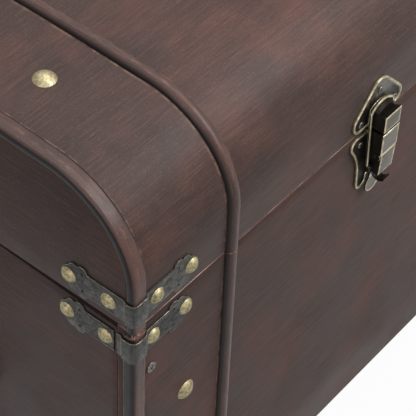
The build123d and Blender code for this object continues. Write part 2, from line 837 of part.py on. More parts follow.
cavity_top = lever_pivot_drop + lever_nose
with BuildPart() as latch_lever:
    with BuildSketch(latch_side):
        with Locations((lever_pivot_reach, -lever_pivot_drop)):
            Circle(lever_nose)
        with BuildLine():
            Polyline(
                (hook_reach, -lever_pivot_drop),
                (lever_bottom_reach, -lever_bottom_drop),
                (lever_back_reach, -lever_bottom_drop),
                (lever_pivot_reach - lever_nose, -lever_pivot_drop),
                close=True,
            )
        make_face()
    extrude(amount=lever_width / 2, both=True)
    with BuildSketch(latch_side):
        with BuildLine():
            Polyline(
                (hook_reach - 2 * lever_wall, -cavity_top),
                (lever_bottom_reach - lever_wall, -lever_bottom_drop + lever_wall),
                (0, -lever_bottom_drop + lever_wall),
                (0, -cavity_top),
                close=True,
            )
        make_face()
    extrude(amount=lever_width / 2 - lever_wall, both=True, mode=Mode.SUBTRACT)
    with BuildSketch(latch_side):
        with BuildLine():
            lip_top = -lever_bottom_drop + lever_wall / 2
            outer_start = (lip_back_reach, lip_top)
            outer_end = (lip_tip[0], -lip_tip[1])
            inner_end = (lip_tip[0] - lever_wall, -lip_tip[1])
            inner_start = (lip_back_reach + lever_wall, lip_top)
            ThreePointArc(outer_start, (lip_bottom[0], -lip_bottom[1]), outer_end)
            Line(outer_end, inner_end)
            ThreePointArc(inner_end, (lip_bottom[0], lever_wall - lip_bottom[1]), inner_start)
            Line(inner_start, outer_start)
        make_face()
    extrude(amount=lip_width / 2, both=True)
    tab_neck_length = tab_disc_drop - lever_bottom_drop + lever_wall / 2
    with BuildSketch(latch_face.offset(tab_reach)):
        with Locations((0, -tab_disc_drop)):
            Rectangle(tab_neck_width, tab_neck_length, align=(Align.CENTER, Align.MIN))
            Circle(tab_disc_radius)
    extrude(amount=tab_thickness)
    with BuildSketch(latch_face.offset(tab_reach + tab_thickness)):
        with Locations((0, -tab_disc_drop)):
            Circle(tab_disc_radius - tab_rim_width)
    extrude(amount=-tab_rim_height, mode=Mode.SUBTRACT)
    with BuildSketch(latch_side):
        with Locations((lever_pivot_reach, -lever_pivot_drop), (bail_pivot_reach, -bail_pivot_drop)):
            Circle(latch_pin_radius)
    extrude(amount=lever_width, both=True, mode=Mode.SUBTRACT)
save(latch_lever.part, "latch_lever")

with BuildPart() as latch_pins:
    with BuildSketch(latch_side):
        with Locations((lever_pivot_reach, -lever_pivot_drop)):
            Circle(latch_pin_radius)
    extrude(amount=housing_width / 2, both=True)
    with BuildSketch(latch_side):
        with Locations((bail_pivot_reach, -bail_pivot_drop)):
            Circle(latch_pin_radius)
    extrude(amount=bail_half_width, both=True)
save(latch_pins.part, "latch_pins")

# Bail: a flat arch that leans in over the hook, its feet turned in to the lever

bail_turn = math.radians(bail_lean)
bail_plane = Plane(
    origin=(0, -half_depth - bail_pivot_reach, seam - bail_pivot_drop),
    x_dir=(1, 0, 0),
    z_dir=(0, -math.cos(bail_turn), math.sin(bail_turn)),
)
with BuildPart() as latch_bail:
    with BuildSketch(bail_plane):
        with BuildLine():
            ThreePointArc(
                (-bail_half_width, bail_shoulder_rise),
                (0, bail_arch_rise),
                (bail_half_width, bail_shoulder_rise),
            )
            Polyline(
                (bail_half_width, bail_shoulder_rise),
                (bail_half_width, 0),
                (-bail_half_width, 0),
                (-bail_half_width, bail_shoulder_rise),
            )
        make_face()
        with BuildLine():
            inner_shoulder = bail_arch_centre + math.sqrt(bail_inner_radius**2 - bail_inner_half**2)
            ThreePointArc(
                (-bail_inner_half, inner_shoulder),
                (0, bail_arch_rise - bail_rod),
                (bail_inner_half, inner_shoulder),
            )
            Polyline(
                (bail_inner_half, inner_shoulder),
                (bail_inner_half, -bail_rod),
                (-bail_inner_half, -bail_rod),
                (-bail_inner_half, inner_shoulder),
            )
        make_face(mode=Mode.SUBTRACT)
    extrude(amount=bail_thickness / 2, both=True)
    foot_start = lever_width / 2 + ear_gap
    for side in (-1, 1):
        with BuildSketch(latch_side.offset(side * foot_start)):
            with Locations((bail_pivot_reach, -bail_pivot_drop)):
                Circle(bail_boss_radius)
        extrude(amount=side * (bail_half_width - foot_start))
    with BuildSketch(latch_side):
        with Locations((bail_pivot_reach, -bail_pivot_drop)):
            Circle(latch_pin_radius + latch_pin_clearance)
    extrude(amount=2 * bail_half_width, both=True, mode=Mode.SUBTRACT)
save(latch_bail.part, "latch_bail")

# Drop handles on the two ends

handle_base = Plane(origin=(-half_width, 0, handle_height), x_dir=(0, -1, 0), z_dir=(-1, 0, 0))
handle_side = Plane(origin=(-half_width, 0, handle_height), x_dir=(-1, 0, 0), z_dir=(0, 1, 0))

with BuildPart() as handle_plate:
    with BuildSketch(handle_base):
        RectangleRounded(handle_plate_width, handle_plate_height, handle_plate_round)
    extrude(amount=handle_plate_thickness)
    for side in (-1, 1):
        with BuildSketch(handle_side.offset(side * handle_ear_spread - handle_ear_width / 2)):
            with Locations((handle_pivot_out, 0)):
                Circle(handle_ear_radius)
            Rectangle(handle_pivot_out, 2 * handle_ear_radius, align=(Align.MIN, Align.CENTER))
        extrude(amount=handle_ear_width)
    with BuildSketch(handle_side):
        with Locations((handle_pivot_out, 0)):
            Circle(handle_rod_radius + handle_stub_clearance)
    extrude(amount=handle_plate_width, both=True, mode=Mode.SUBTRACT)
    drill(handle_screw_spots, screw_shank_radius, screw_shank_length)

with BuildPart() as handle_bail:
    with BuildLine(handle_base.offset(handle_pivot_out)) as handle_route:
        stub_end = handle_ear_spread - handle_ear_width / 2
        FilletPolyline(
            (stub_end, 0),
            (handle_leg_spread, 0),
            (handle_leg_spread, -handle_drop),
            (-handle_leg_spread, -handle_drop),
            (-handle_leg_spread, 0),
            (-stub_end, 0),
            radius=(handle_elbow_radius, handle_bend_radius, handle_bend_radius, handle_elbow_radius),
        )
    with BuildSketch(Plane(handle_route.line @ 0, z_dir=handle_route.line % 0)):
        Circle(handle_rod_radius)
    sweep()
    with BuildSketch(handle_side.offset(-handle_grip_length / 2)):
        with Locations((handle_pivot_out, -handle_drop)):
            Circle(handle_grip_radius)
    extrude(amount=handle_grip_length)

for node, planes in (("left", ()), ("right", (Plane.YZ,))):
    save(mirrored(handle_plate.part, planes), f"{node}_handle_plate")
    save(mirrored(handle_bail.part, planes), f"{node}_handle_bail")
save(fastener_group(board_screw, handle_screw_spots), "handle_screws")
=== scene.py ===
import json
import math

import bmesh
import bpy
from mathutils import Matrix, Vector

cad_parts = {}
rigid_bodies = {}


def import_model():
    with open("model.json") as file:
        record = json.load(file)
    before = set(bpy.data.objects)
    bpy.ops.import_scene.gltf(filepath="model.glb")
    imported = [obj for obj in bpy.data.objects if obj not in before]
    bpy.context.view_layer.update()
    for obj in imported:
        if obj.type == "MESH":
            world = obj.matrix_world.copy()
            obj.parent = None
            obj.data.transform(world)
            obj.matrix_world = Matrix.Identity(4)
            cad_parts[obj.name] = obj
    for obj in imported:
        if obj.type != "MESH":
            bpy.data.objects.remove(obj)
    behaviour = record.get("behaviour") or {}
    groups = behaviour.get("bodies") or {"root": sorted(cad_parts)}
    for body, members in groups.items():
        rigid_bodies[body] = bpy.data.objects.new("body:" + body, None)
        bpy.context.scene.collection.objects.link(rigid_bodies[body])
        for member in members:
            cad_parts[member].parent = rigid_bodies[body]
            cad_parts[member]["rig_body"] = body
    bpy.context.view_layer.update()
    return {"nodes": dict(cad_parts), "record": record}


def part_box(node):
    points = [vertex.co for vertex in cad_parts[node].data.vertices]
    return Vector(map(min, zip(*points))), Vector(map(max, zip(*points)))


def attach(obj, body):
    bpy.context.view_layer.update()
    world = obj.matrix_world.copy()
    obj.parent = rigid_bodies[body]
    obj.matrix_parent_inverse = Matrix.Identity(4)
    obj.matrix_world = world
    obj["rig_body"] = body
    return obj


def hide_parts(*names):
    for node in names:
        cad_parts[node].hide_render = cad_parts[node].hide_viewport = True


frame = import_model()
nodes = frame["nodes"]

# Camera: the photograph's own view, over the chest's front left corner

camera_place = Vector((-0.5630, -0.4615, 0.8463))
camera_right = Vector((0.63685, -0.77033, 0.03174))
camera_down = Vector((-0.54666, -0.4802, -0.68598))
camera_forward = Vector((0.54368, 0.41952, -0.72692))
camera_lens = 151.886

camera_data = bpy.data.cameras.new("camera")
camera_data.sensor_width = 36.0
camera_data.lens = camera_lens
camera_data.clip_end = 20.0
camera = bpy.data.objects.new("camera", camera_data)
turn = Matrix((camera_right, -camera_down, -camera_forward)).transposed()
camera.matrix_world = Matrix.Translation(camera_place) @ turn.to_4x4()
bpy.context.scene.collection.objects.link(camera)
bpy.context.scene.camera = camera
bpy.context.scene.view_settings.view_transform = "Standard"

# Sizes of the chest, from the frame

MM = 0.001
half_width, half_depth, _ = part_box("lid_skin")[1]
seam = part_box("front_panel")[1].z
corners = ("front_left", "front_right", "back_left", "back_right")


class Finish:
    """A procedural material in the making: its nodes, its shader and the piece's own coordinates."""

    def __init__(self, name, roughness, metallic=0.0, specular=0.5):
        self.material = bpy.data.materials.new(name)
        self.material.use_nodes = True
        self.tree = self.material.node_tree
        self.shader = self.tree.nodes["Principled BSDF"]
        self.shader.inputs["Roughness"].default_value = roughness
        self.shader.inputs["Metallic"].default_value = metallic
        self.shader.inputs["Specular IOR Level"].default_value = specular
        self.place = self.tree.nodes.new("ShaderNodeTexCoord").outputs["Object"]

    def node(self, kind, inputs, **settings):
        """A node with its settings and its inputs, each a value or another node's output."""
        made = self.tree.nodes.new(kind)
        for name, value in settings.items():
            setattr(made, name, value)
        for key, value in inputs.items():
            if isinstance(value, bpy.types.NodeSocket):
                self.tree.links.new(value, made.inputs[key])
            else:
                made.inputs[key].default_value = value
        return made

    def noise(self, stretch, detail=3.0, rough=0.55, shift=(0.0, 0.0, 0.0)):
        """Noise with a count of features per metre along each axis."""
        mapped = self.node("ShaderNodeMapping", {"Vector": self.place, "Scale": stretch, "Location": shift})
        inputs = {"Vector": mapped.outputs["Vector"], "Scale": 1.0, "Detail": detail, "Roughness": rough}
        return self.node("ShaderNodeTexNoise", inputs).outputs["Fac"]

    def attribute(self, name):
        """A value that the piece's own mesh carries."""
        return self.node("ShaderNodeAttribute", {}, attribute_name=name).outputs["Fac"]

    def math(self, operation, first, second=0.0):
        return self.node("ShaderNodeMath", {0: first, 1: second}, operation=operation).outputs[0]

    def fade(self, value, low, high, out_low=0.0, out_high=1.0):
        """The value's range from low to high, made a smooth change from one number to another."""
        inputs = {"Value": value, "From Min": low, "From Max": high, "To Min": out_low, "To Max": out_high}
        return self.node("ShaderNodeMapRange", inputs, interpolation_type="SMOOTHSTEP").outputs["Result"]

    def ramp(self, value, stops):
        """Colours at places between 0 and 1."""
        made = self.node("ShaderNodeValToRGB", {"Fac": value})
        marks = made.color_ramp.elements
        while len(marks) < len(stops):
            marks.new(0.5)
        for mark, (place, colour) in zip(marks, stops):
            mark.position = place
            mark.color = (*colour, 1.0)
        return made.outputs["Color"]

    def blend(self, share, first, second, how="MIX"):
        made = self.node("ShaderNodeMix", {0: share}, data_type="RGBA", blend_type=how)
        for key, colour in ((6, first), (7, second)):
            if isinstance(colour, bpy.types.NodeSocket):
                self.tree.links.new(colour, made.inputs[key])
            else:
                made.inputs[key].default_value = (*colour, 1.0)
        return made.outputs[2]

    def dress(self, colour=None, roughness=None, height=None, depth=0.0001, strength=1.0):
        """Link what was made to the shader, and give the material."""
        for key, value in (("Base Color", colour), ("Roughness", roughness)):
            if value is not None:
                self.tree.links.new(value, self.shader.inputs[key])
        if height is not None:
            bump = self.node("ShaderNodeBump", {"Height": height, "Strength": strength, "Distance": depth})
            self.tree.links.new(bump.outputs["Normal"], self.shader.inputs["Normal"])
        return self.material


# Stained wood: dark brown with red wood showing through, and fine streaks along the grain

STAIN_DARK = (0.030, 0.022, 0.021)
STAIN_BROWN = (0.054, 0.034, 0.030)
STAIN_RED = (0.084, 0.042, 0.035)
STAIN_WORN = (0.150, 0.082, 0.064)
STAIN_TAN = (0.21, 0.135, 0.10)
WOOD_RAW = (0.36, 0.225, 0.185)

# The boards are rubbed beside the bands and the corner mouldings, at these distances from the middle
band_low, band_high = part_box("lid_left_band")
post_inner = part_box("front_left_post")[1].x
rub_places = (-band_low.x + 0.5 * MM, -band_high.x - 0.5 * MM, -post_inner - 0.6 * MM)


ALONG_CHEST = "x"
ALONG_END = "y"
UPRIGHT = "z"
ROUND_LID = "yz"


def along(grain, lengthwise, across):
    """Feature counts that are long along the grain's axes, and fine across them."""
    return tuple(lengthwise if axis in grain else across for axis in "xyz")


def stain(wood, grain, red_share):
    """The stain's colour, of red clouds, dark drifts, brush streaks and specks, and its drifts and streaks."""
    clouds = wood.noise(along(grain, 17.0, 16.0), 3.0, 0.55, (3.1, 1.7, 0.4))
    drifts = wood.noise(along(grain, 27.0, 24.0), 4.0, 0.58, (4.9, 2.3, 7.7))
    streaks = wood.noise(along(grain, 60.0, 1400.0), 2.0, 0.6)
    long_streaks = wood.noise(along(grain, 12.0, 330.0), 3.0, 0.6)
    grit = wood.noise((1000.0, 1000.0, 1000.0), 3.0, 0.75)
    red_from = 0.60 - 0.22 * red_share
    colour = wood.blend(wood.fade(clouds, red_from - 0.06, red_from + 0.20), STAIN_BROWN, STAIN_RED)
    colour = wood.blend(wood.fade(drifts, 0.30, 0.60, 0.62, 0.0), colour, STAIN_DARK)
    colour = wood.blend(wood.fade(streaks, 0.50, 0.72, 0.0, 0.24), colour, STAIN_WORN)
    colour = wood.blend(wood.fade(streaks, 0.30, 0.47, 0.5, 0.0), colour, STAIN_DARK)
    colour = wood.blend(wood.fade(long_streaks, 0.36, 0.50, 0.15, 0.0), colour, STAIN_DARK)
    colour = wood.blend(wood.fade(grit, 0.56, 0.70, 0.0, 0.42), colour, STAIN_WORN)
    colour = wood.blend(wood.fade(grit, 0.30, 0.46, 0.5, 0.0), colour, STAIN_DARK)
    return colour, drifts, streaks, long_streaks


def beside(wood, value, places, width):
    """1 right at any of the places along a coordinate, falling to 0 a width away."""
    share = None
    for place in places:
        gap = wood.math("ABSOLUTE", wood.math("SUBTRACT", value, place))
        near = wood.fade(gap, 0.0, width, 1.0, 0.0)
        share = near if share is None else wood.math("MAXIMUM", share, near)
    return share


def stained_wood(name, grain, red_share, sheen=0.085, rubbed=False):
    wood = Finish(name, 0.5, specular=sheen)
    colour, drifts, streaks, long_streaks = stain(wood, grain, red_share)
    if rubbed:
        along_chest = wood.node("ShaderNodeSeparateXYZ", {"Vector": wood.place}).outputs["X"]
        from_middle = wood.math("ABSOLUTE", along_chest)
        rub = wood.noise((120.0, 160.0, 160.0), 4.0, 0.7, (2.2, 0.3, 5.1))
        near_mouldings = beside(wood, from_middle, rub_places, 1.1 * MM)
        scratch = wood.math("MULTIPLY", near_mouldings, wood.fade(rub, 0.42, 0.62))
        colour = wood.blend(wood.math("MULTIPLY", scratch, 0.6), colour, STAIN_TAN)
    roughness = wood.fade(drifts, 0.3, 0.7, 0.36, 0.48)
    height = wood.math("ADD", streaks, wood.math("MULTIPLY", long_streaks, 0.5))
    return wood.dress(colour, roughness, height, depth=0.00012, strength=0.6)


def moulding_wood(name, grain, end_shade_width=1.0):
    """A rounded moulding: painted shade along both its sides where it meets the board, red and rubbed on its
    crest, by the mesh's own "across".
    """
    wood = Finish(name, 0.42, specular=0.17)
    colour, _, streaks, _ = stain(wood, grain, 0.7)
    across = wood.attribute("across")
    wander = wood.noise((45.0, 45.0, 45.0), 4.0, 0.6)
    place = wood.math("ADD", across, wood.fade(wander, 0.3, 0.7, -0.09, 0.09))
    rub = wood.noise((130.0, 130.0, 130.0), 5.0, 0.68, (1.3, 4.1, 2.9))
    crest = wood.math("MULTIPLY", wood.fade(place, 0.34, 0.46), wood.fade(place, 0.50, 0.62, 1.0, 0.0))
    colour = wood.blend(wood.math("MULTIPLY", crest, wood.fade(rub, 0.44, 0.70, 0.0, 0.6)), colour, STAIN_WORN)
    chips = wood.math("MULTIPLY", crest, wood.fade(rub, 0.66, 0.74))
    colour = wood.blend(wood.math("MULTIPLY", chips, 0.35), colour, WOOD_RAW)
    # Painted shade: near black along the side towards the chest's end and the side towards its middle, where
    # the moulding meets the board
    end_side_shade = wood.fade(across, 0.04 * end_shade_width, 0.22 * end_shade_width, 1.0, 0.0)
    side_shade = wood.math("MAXIMUM", end_side_shade, wood.fade(across, 0.76, 0.92))
    colour = wood.blend(side_shade, colour, (0.007, 0.005, 0.0045))
    return wood.dress(colour, wood.fade(rub, 0.3, 0.7, 0.30, 0.44), streaks, depth=0.0001, strength=0.3)


def worn_edge():
    """Edges where the stain is rubbed through to pink-brown wood."""
    wood = Finish("worn_wood_edges", 0.5, specular=0.2)
    patches = wood.noise((26.0, 55.0, 55.0), 5.0, 0.7)
    colour = wood.ramp(patches, ((0.36, STAIN_RED), (0.46, STAIN_WORN), (0.60, WOOD_RAW)))
    return wood.dress(colour, None, patches, depth=0.0001)


def joint_line():
    """Stain gathered in a joint: nearly black, with a little brown."""
    line = Finish("dark_joint_lines", 0.7, specular=0.1)
    clumps = line.noise((400.0, 400.0, 400.0), 3.0, 0.6)
    return line.dress(line.ramp(clumps, ((0.35, (0.008, 0.006, 0.005)), (0.65, (0.028, 0.019, 0.016)))))


def raw_end():
    """Sawn ends with thin stain on them."""
    wood = Finish("raw_wood_ends", 0.6, specular=0.2)
    pores = wood.noise((900.0, 900.0, 900.0), 3.0, 0.6)
    colour = wood.ramp(pores, ((0.35, STAIN_RED), (0.52, STAIN_WORN), (0.68, WOOD_RAW)))
    return wood.dress(colour, None, pores, depth=0.0002)


# Metals: dark bronze straps, antique brass nails, relieved brass of the latch, plated screws


def mottled_metal(name, scale, stops, rough_low, rough_high, metallic=0.9, specular=0.5, depth=0.0001):
    """Metal whose colour and polish change with the same patches."""
    metal = Finish(name, 0.4, metallic, specular)
    patches = metal.noise((scale, scale, scale), 4.0, 0.65)
    roughness = metal.fade(patches, 0.3, 0.7, rough_high, rough_low)
    return metal.dress(metal.ramp(patches, stops), roughness, patches, depth=depth, strength=0.5)


def brushed_brass():
    """The flat faces of the latch: grey-brown, brushed along the chest."""
    metal = Finish("brushed_grey_brass", 0.45, 0.85)
    brush = metal.noise((60.0, 900.0, 2400.0), 2.0, 0.6)
    colour = metal.ramp(brush, ((0.3, (0.10, 0.09, 0.08)), (0.7, (0.19, 0.17, 0.15))))
    depths = metal.noise((45.0, 45.0, 45.0), 2.0, 0.5)
    colour = metal.blend(metal.fade(depths, 0.42, 0.62, 0.0, 0.5), colour, (0.05, 0.044, 0.038))
    return metal.dress(colour, metal.fade(brush, 0.3, 0.7, 0.38, 0.5), brush, depth=0.00005, strength=0.5)


def shaded_keeper_brass(top, bottom):
    """The keeper's floor: brushed grey at the top, with painted shade fading it to black lower down, round the
    hook.
    """
    metal = Finish("keeper_floor_brass_painted_shade", 0.45, 0.8)
    brush = metal.noise((60.0, 900.0, 2400.0), 2.0, 0.6)
    patches = metal.noise((140.0, 140.0, 140.0), 3.0, 0.6)
    height = metal.node("ShaderNodeSeparateXYZ", {"Vector": metal.place}).outputs["Z"]
    height = metal.math("ADD", height, metal.fade(patches, 0.3, 0.7, -4 * MM, 4 * MM))
    colour = metal.ramp(brush, ((0.3, (0.10, 0.09, 0.08)), (0.7, (0.18, 0.16, 0.14))))
    # Painted shade: the floor turns near black towards its lower part
    colour = metal.blend(metal.fade(height, bottom, top, 1.0, 0.0), colour, (0.012, 0.010, 0.008))
    return metal.dress(colour, metal.fade(patches, 0.3, 0.7, 0.38, 0.55), brush, depth=0.00005, strength=0.5)


lid_wood = stained_wood("stained_wood_lid", ALONG_CHEST, 0.55, sheen=0.095, rubbed=True)
body_wood = stained_wood("stained_wood_body", ALONG_CHEST, 0.62, sheen=0.045, rubbed=True)
inner_wood = stained_wood("stained_wood_inside", ALONG_CHEST, 0.45)
end_wood = stained_wood("stained_wood_ends", ALONG_END, 0.25)
post_wood = moulding_wood("moulding_posts", UPRIGHT)
bent_wood = moulding_wood("moulding_bent", ROUND_LID)
edge_wood = moulding_wood("moulding_edges", ROUND_LID, 0.4)
worn_wood = worn_edge()
dark_groove = joint_line()
raw_wood = raw_end()
dark_bronze = mottled_metal(
    "dark_bronze", 420.0,
    ((0.32, (0.020, 0.0195, 0.0175)), (0.50, (0.036, 0.035, 0.031)), (0.70, (0.062, 0.059, 0.050))),
    0.40, 0.58, metallic=0.5,
)
rubbed_bronze = mottled_metal(
    "rubbed_bronze", 300.0,
    ((0.34, (0.05, 0.045, 0.037)), (0.52, (0.19, 0.165, 0.125)), (0.70, (0.38, 0.34, 0.27))),
    0.32, 0.50,
)
hinge_bronze = mottled_metal(
    "hinge_bronze", 110.0,
    ((0.36, (0.10, 0.086, 0.062)), (0.52, (0.155, 0.135, 0.10)), (0.70, (0.23, 0.205, 0.15))),
    0.36, 0.46,
)
engraving = mottled_metal(
    "engraved_lines", 500.0,
    ((0.35, (0.004, 0.004, 0.004)), (0.65, (0.014, 0.013, 0.012))),
    0.5, 0.7, metallic=0.2,
)
antique_brass = mottled_metal(
    "antique_brass", 560.0,
    ((0.32, (0.15, 0.122, 0.064)), (0.50, (0.29, 0.25, 0.14)), (0.70, (0.43, 0.38, 0.24))),
    0.46, 0.62, depth=0.00015,
)
pale_brass = mottled_metal(
    "pale_brass", 350.0,
    ((0.30, (0.17, 0.145, 0.09)), (0.48, (0.36, 0.315, 0.205)), (0.70, (0.56, 0.50, 0.35))),
    0.32, 0.48,
)
# Black patina, which also serves as painted shade on the latch's sides, its curled lip and the bail's feet
black_patina_and_painted_shade = mottled_metal(
    "black_patina_and_painted_shade", 350.0,
    ((0.35, (0.003, 0.0025, 0.002)), (0.62, (0.010, 0.008, 0.006)), (0.76, (0.04, 0.035, 0.028))),
    0.30, 0.50, metallic=0.0, specular=0.16,
)
grey_brass = brushed_brass()
# The keeper floor's painted shade is black up to 12 mm above the seam and gone by 23 mm
keeper_floor_with_painted_shade = shaded_keeper_brass(seam + 23 * MM, seam + 12 * MM)
worn_steel = mottled_metal(
    "worn_steel", 1100.0,
    ((0.34, (0.03, 0.028, 0.025)), (0.54, (0.14, 0.13, 0.12)), (0.72, (0.40, 0.38, 0.34))),
    0.25, 0.45,
)
screw_steel = mottled_metal(
    "plated_steel", 1100.0,
    ((0.34, (0.08, 0.08, 0.075)), (0.55, (0.26, 0.26, 0.245)), (0.72, (0.50, 0.50, 0.47))),
    0.28, 0.45,
)

# Pieces: copies of the cut parts with their edges eased


def merged_copy(node):
    """The node's own surface as one closed mesh, its flat faces whole."""
    shape = bmesh.new()
    shape.from_mesh(nodes[node].data)
    bmesh.ops.remove_doubles(shape, verts=shape.verts[:], dist=0.002 * MM)
    bmesh.ops.dissolve_limit(
        shape, angle_limit=math.radians(0.5), verts=shape.verts[:], edges=shape.edges[:]
    )
    return shape


SHARP = math.radians(28)


def sharp_edges(shape, wanted=None):
    edges = [edge for edge in shape.edges if edge.is_manifold and edge.calc_face_angle() > SHARP]
    return [edge for edge in edges if wanted is None or wanted(edge)]


def ease(shape, edges, width, material=1, segments=2):
    """Round the edges off, and give the new faces their own finish."""
    bmesh.ops.bevel(
        shape, geom=edges, offset=width, offset_type="OFFSET", segments=segments, profile=0.5,
        affect="EDGES", material=material, clamp_overlap=False,
    )


def finish_piece(shape, name, body, finishes, *replaced, slot=None):
    """Write a shape as a piece of its own, smooth but for its sharp edges."""
    shape.normal_update()
    for face in shape.faces:
        face.smooth = True
    for edge in shape.edges:
        edge.smooth = not (edge.is_manifold and edge.calc_face_angle() > SHARP)
    mesh = bpy.data.meshes.new(name)
    shape.to_mesh(mesh)
    shape.free()
    for finish in finishes:
        mesh.materials.append(finish)
    piece = bpy.data.objects.new(name, mesh)
    bpy.context.scene.collection.objects.link(piece)
    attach(piece, body)
    if replaced:
        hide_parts(*replaced)
    return piece


body_of = {part: piece["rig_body"] for part, piece in nodes.items()}
slot_of = {part["node"]: part["material_slot"] for part in frame["record"]["subparts"]}


def eased_piece(node, finishes, width, wanted=None, ready=None, mark=None):
    """A node's copy with eased edges, in its place."""
    shape = merged_copy(node)
    if ready:
        ready(shape)
    ease(shape, sharp_edges(shape, wanted), width)
    if mark:
        mark(shape)
    return finish_piece(shape, node + "_finished", body_of[node], finishes, node, slot=slot_of[node])


def outside(edge):
    """Edges on the chest's outside, not round its nail holes or inside it."""
    middle = (edge.verts[0].co + edge.verts[1].co) / 2
    on_long = abs(abs(middle.y) - half_depth) < 0.1 * MM
    on_end = abs(abs(middle.x) - half_width) < 0.1 * MM
    return (on_long or on_end) and edge.calc_length() > 2 * MM


def mark_inside(shape):
    """The inner faces have their own finish, with no rubbing beside the bands."""
    for face in shape.faces:
        place = face.calc_center_median()
        inwards = Vector((0.0, -place.y, seam - place.z))
        if face.material_index == 0 and face.normal.dot(inwards) > 0.5 * inwards.length:
            face.material_index = 2


for node in ("front_panel", "back_panel"):
    eased_piece(node, (body_wood, worn_wood, inner_wood), 0.4 * MM, outside, mark=mark_inside)
for node in ("left_end_panel", "right_end_panel"):
    eased_piece(node, (end_wood, dark_groove), 0.3 * MM, outside)
eased_piece("lid_skin", (lid_wood, dark_groove, inner_wood), 0.4 * MM, outside, mark=mark_inside)
for node in ("lid_left_end", "lid_right_end"):
    eased_piece(node, (end_wood, dark_groove), 0.3 * MM, outside)

# Mouldings: "across" runs from 0 at the side towards the chest's end to 1 at the side towards its middle


def mark_across(shape, outermost, innermost):
    across = shape.verts.layers.float.new("across")
    for vert in shape.verts:
        share = (outermost - abs(vert.co.x)) / (outermost - innermost)
        vert[across] = min(1.0, max(0.0, share))
    for face in shape.faces:
        sawn = abs(face.normal.z) > 0.9 and face.calc_area() > 5 * MM**2
        if sawn and face.calc_center_median().z < seam + MM:
            face.material_index = 2


def moulding(node, finish):
    innermost, outermost = sorted(abs(corner.x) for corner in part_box(node))
    eased_piece(
        node, (finish, worn_wood, raw_wood), 0.3 * MM, lambda edge: edge.calc_length() > 1.8 * MM,
        mark=lambda shape: mark_across(shape, outermost, innermost),
    )


for side in ("left", "right"):
    moulding(f"lid_{side}_band", bent_wood)
    moulding(f"lid_{side}_edge", edge_wood)
for corner in corners:
    moulding(f"{corner}_body_band", post_wood)
    moulding(f"{corner}_post", post_wood)

# Corner straps with rubbed edges, and scrolls engraved between their nails


def away_from_holes(edge):
    return edge.calc_length() > 0.14 * MM


LINE = 0.36 * MM
SUNK = LINE * 0.75
STRAP_FACE = 1.08 * MM


def engrave(shape, lines, to_place):
    """Fine wires sunk in the surface, which read as cut lines, with their own finish."""
    curve = bpy.data.curves.new("engraved_lines", "CURVE")
    curve.dimensions = "3D"
    curve.bevel_depth = LINE
    curve.bevel_resolution = 0
    for line in lines:
        spline = curve.splines.new("POLY")
        spline.points.add(len(line) - 1)
        for point, spot in zip(spline.points, line):
            point.co = (*to_place(*spot), 1.0)
    holder = bpy.data.objects.new("engraved_lines", curve)
    mesh = bpy.data.meshes.new_from_object(holder)
    first = len(shape.faces)
    shape.from_mesh(mesh)
    shape.faces.ensure_lookup_table()
    for face in shape.faces[first:]:
        face.material_index = 2
    bpy.data.objects.remove(holder)
    bpy.data.curves.remove(curve)
    bpy.data.meshes.remove(mesh)


def curl(centre, radius, start, turns):
    """A spiral that winds in, as points along the strap and across it."""
    steps = 22
    points = []
    for step in range(steps + 1):
        share = step / steps
        angle = start + turns * math.tau * share
        reach = radius * (1.0 - 0.8 * share)
        points.append((centre[0] + reach * math.cos(angle), centre[1] + reach * math.sin(angle)))
    return points


def strap_lines(inner_nail, outer_nail, neck):
    """Engraving of one face: border lines, four leaf curls and a wave between the nails, and short rays."""
    middle = (inner_nail + outer_nail) / 2
    border = 5.9 * MM
    lines = [[(inner_nail - 5 * MM, side * border), (neck, side * border)] for side in (-1, 1)]
    for side in (-1, 1):
        for end in (-1, 1):
            centre = (middle + end * 3.6 * MM, side * 2.7 * MM)
            start = -side * math.pi / 2
            lines.append(curl(centre, 2.3 * MM, start, end * side * 1.3))
    wave = []
    for step in range(17):
        share = step / 16
        along_strap = middle + (share - 0.5) * 15 * MM
        wave.append((along_strap, 1.1 * MM * math.sin(share * math.tau * 1.5)))
    lines.append(wave)
    for step in range(7):
        angle = math.radians(-75 + 25 * step)
        reaches = (5.3 * MM, 6.0 * MM)
        lines.append([(outer_nail - reach * math.cos(angle), reach * math.sin(angle)) for reach in reaches])
    return lines


def engraved(shape, node, nails_front, nails_end, neck_front, neck_end):
    """Put the engraving on the front or back face and on the end face of a strap, as each has it."""
    low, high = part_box(node)
    x_side = -1 if low.x < 0 else 1
    y_side = -1 if low.y < 0 else 1
    middle = (low.z + high.z) / 2
    if nails_front:
        y_face = y_side * (half_depth + STRAP_FACE - SUNK)
        engrave(
            shape, strap_lines(*nails_front, neck_front),
            lambda along_face, up: (x_side * (half_width - along_face), y_face, middle + up),
        )
    if nails_end:
        x_face = x_side * (half_width + STRAP_FACE - SUNK)
        engrave(
            shape, strap_lines(*nails_end, neck_end),
            lambda along_face, up: (x_face, y_side * (half_depth - along_face), middle + up),
        )


# Nail places and the straight part's length on each kind of strap: front or back first, then the end
strap_plans = {
    "lid_strap": ((16.0, 40.1), (13.4, 37.5), 28.0, 26.2),
    "wrap_strap": ((13.4, 36.6), None, 25.0, 0.0),
    "end_strap": (None, (15.6, 39.3), 0.0, 28.4),
}
for corner in corners:
    for kind, (nails_front, nails_end, neck_front, neck_end) in strap_plans.items():
        node = f"{corner}_{kind}"
        spots = [tuple(spot * MM for spot in nails) if nails else None for nails in (nails_front, nails_end)]
        eased_piece(
            node, (dark_bronze, rubbed_bronze, engraving), 0.2 * MM, away_from_holes,
            mark=lambda shape: engraved(shape, node, *spots, neck_front * MM, neck_end * MM),
        )

# Latch: front faces brushed grey with pale edges, plate rims pale, the rest under black patina, which is also
# painted shade on the block's sides and in the curled lip


def out_from_front(face):
    return -face.calc_center_median().y - half_depth


def below_seam(face):
    return seam - face.calc_center_median().z


